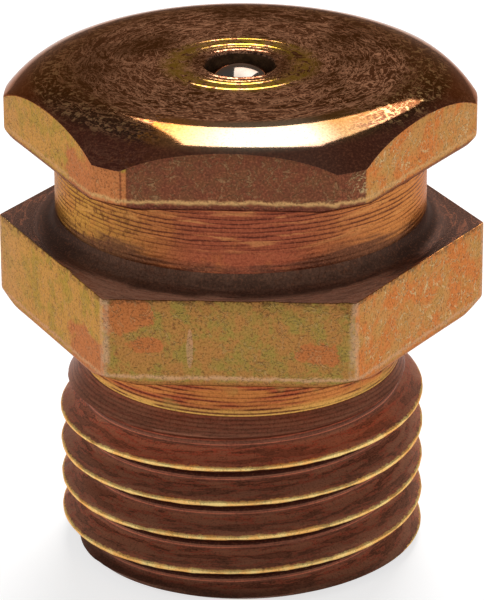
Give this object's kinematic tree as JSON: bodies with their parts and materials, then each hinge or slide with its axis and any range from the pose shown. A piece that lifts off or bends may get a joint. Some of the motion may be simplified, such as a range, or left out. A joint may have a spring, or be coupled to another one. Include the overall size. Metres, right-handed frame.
{
  "type": "button-head grease nipple",
  "caption": "Flat button-head grease nipple turned from hexagon bar, with a spanner hexagon, a threaded stem and a sprung ball valve that lets grease in through the head.",
  "frame": {"origin": "centre of the seat face, the underside of the lower hexagon, which lies against the machine", "axes": "+Z along the nipple's axis towards the button head; +X through a corner of both hexagons, +Y through the middle of a flat"},
  "size_m": [0.0172, 0.015, 0.0181],
  "materials": {
    "passivated_steel": "yellow-passivated zinc plate, worn to bronze",
    "ball_steel": "polished",
    "spring_steel": "satin",
    "retainer_steel": "satin"
  },
  "bodies": {
    "nipple": {"nipple_body": "passivated_steel", "spring_retainer": "retainer_steel", "ball_spring": "spring_steel"},
    "ball": {"check_ball": "ball_steel"}
  },
  "joints": [
    {"name": "ball_lift", "type": "slide", "parent": "nipple", "child": "ball", "axis": [0, 0, -1], "range_m": [0, 0.001], "stiffness_N_per_m": 1400, "deforming": ["ball_spring"]}
  ]
}
